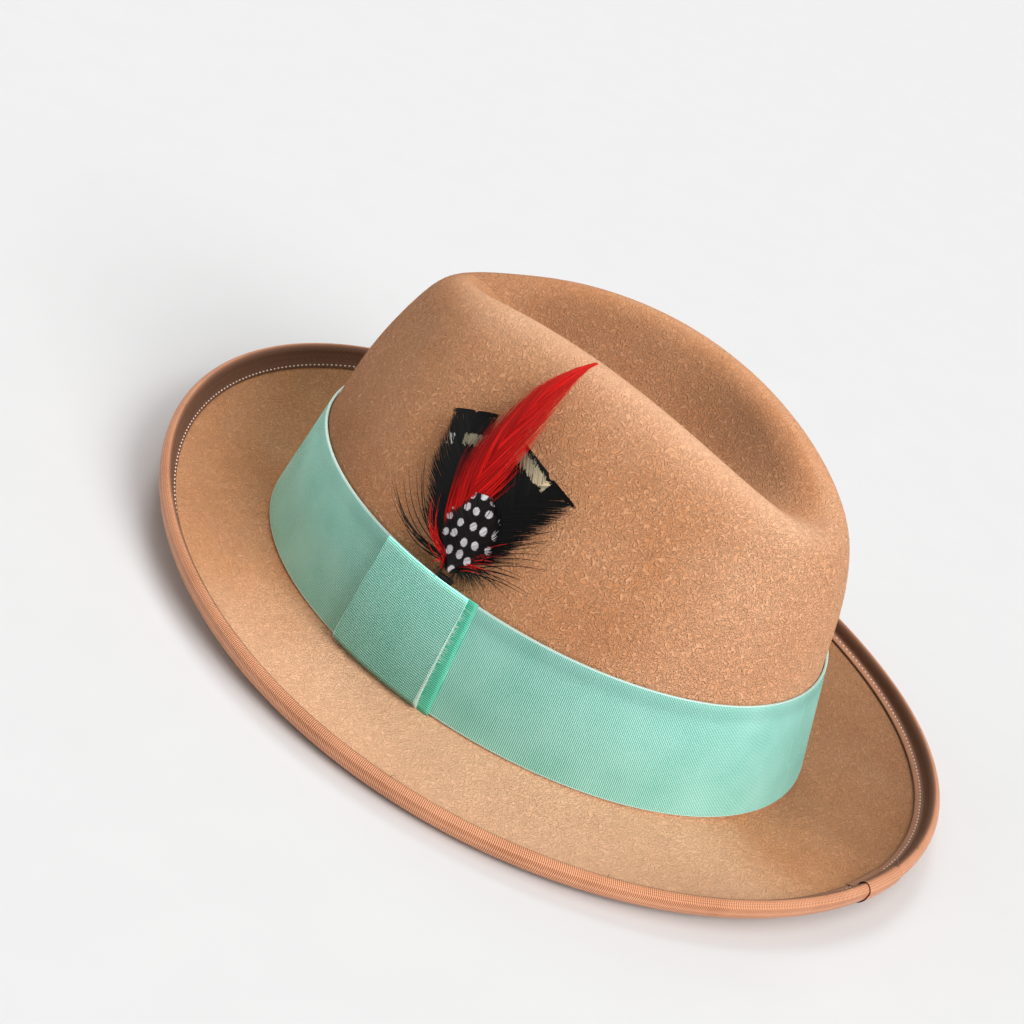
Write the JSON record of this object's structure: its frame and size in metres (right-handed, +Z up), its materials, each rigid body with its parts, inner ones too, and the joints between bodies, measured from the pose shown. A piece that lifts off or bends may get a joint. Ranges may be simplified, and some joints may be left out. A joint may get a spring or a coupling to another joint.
{
  "type": "felt hat",
  "caption": "Short-brimmed tan felt hat with a creased, pinched crown, ribbon-bound upturned brim, mint ribbon band with a flat bow, and a feather mount.",
  "frame": {"origin": "centre of the brim's outline, on the surface that the hat rests on", "axes": "+Z up out of the crown, -Y towards the front of the hat, +X towards the wearer's left"},
  "size_m": [0.2602, 0.2876, 0.1087],
  "materials": {
    "felt": "long-haired fur felt, tan, curly and matt",
    "brim_ribbon": "copper brown grosgrain, fine cross ribs, satin",
    "band_ribbon": "mint grosgrain, cross ribs, soft satin",
    "bow_ribbon": "mint grosgrain, cross ribs, soft satin",
    "quill": "feather quills bound with dark thread, horn-like",
    "turkey_feather": "feather barbs, black with an off-white bar, slight sheen",
    "hackle": "dyed red feather barbs, glossy along the shaft",
    "guinea": "feather barbs, black with white dots"
  },
  "bodies": {
    "root": {"felt_body": "felt", "brim_binding": "brim_ribbon", "hat_band": "band_ribbon", "band_bow": "bow_ribbon", "feather_stem": "quill", "turkey_feather_front": "turkey_feather", "turkey_feather_back": "turkey_feather", "hackle_feather": "hackle", "guinea_feather": "guinea"}
  },
  "joints": []
}
